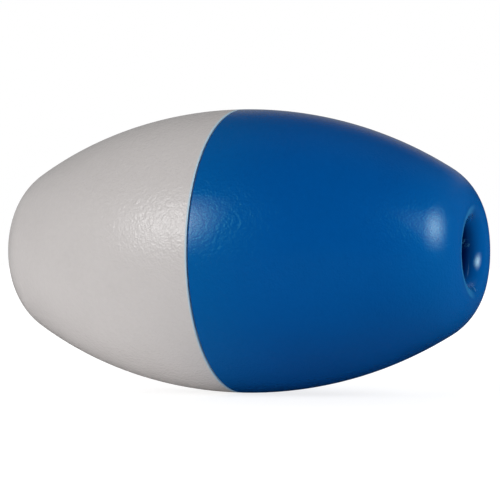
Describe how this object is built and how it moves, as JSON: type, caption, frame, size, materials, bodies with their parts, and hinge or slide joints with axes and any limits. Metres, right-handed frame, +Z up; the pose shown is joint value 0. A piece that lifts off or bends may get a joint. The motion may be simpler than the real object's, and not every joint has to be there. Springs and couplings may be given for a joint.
{
  "type": "pool rope float",
  "caption": "Egg-shaped hollow plastic float, half white and half blue, threaded on a pool rope through a rolled mouth at each end; its halves twist to grip the rope.",
  "frame": {"origin": "on the rope axis, in the seam plane between the two halves", "axes": "+X along the rope, towards the blue end; +Z up"},
  "size_m": [0.221, 0.13, 0.13],
  "materials": {
    "white_plastic": "satin, fine orange-peel",
    "blue_plastic": "satin, fine orange-peel",
    "collar_plastic": "moulded, plain",
    "ring_rubber": "smooth",
    "ring_steel": "spring wire, ground flat"
  },
  "bodies": {
    "white_half": {"white_shell": "white_plastic", "white_bulkhead": "white_plastic", "white_lock_collar": "collar_plastic", "friction_ring": "ring_rubber", "snap_ring": "ring_steel"},
    "blue_half": {"blue_shell": "blue_plastic", "blue_bulkhead": "blue_plastic", "blue_lock_collar": "collar_plastic"}
  },
  "joints": [
    {"name": "twist_lock", "type": "hinge", "parent": "white_half", "child": "blue_half", "pos_m": [0, 0, 0], "axis": [1, 0, 0], "range_deg": [0, 180]}
  ]
}
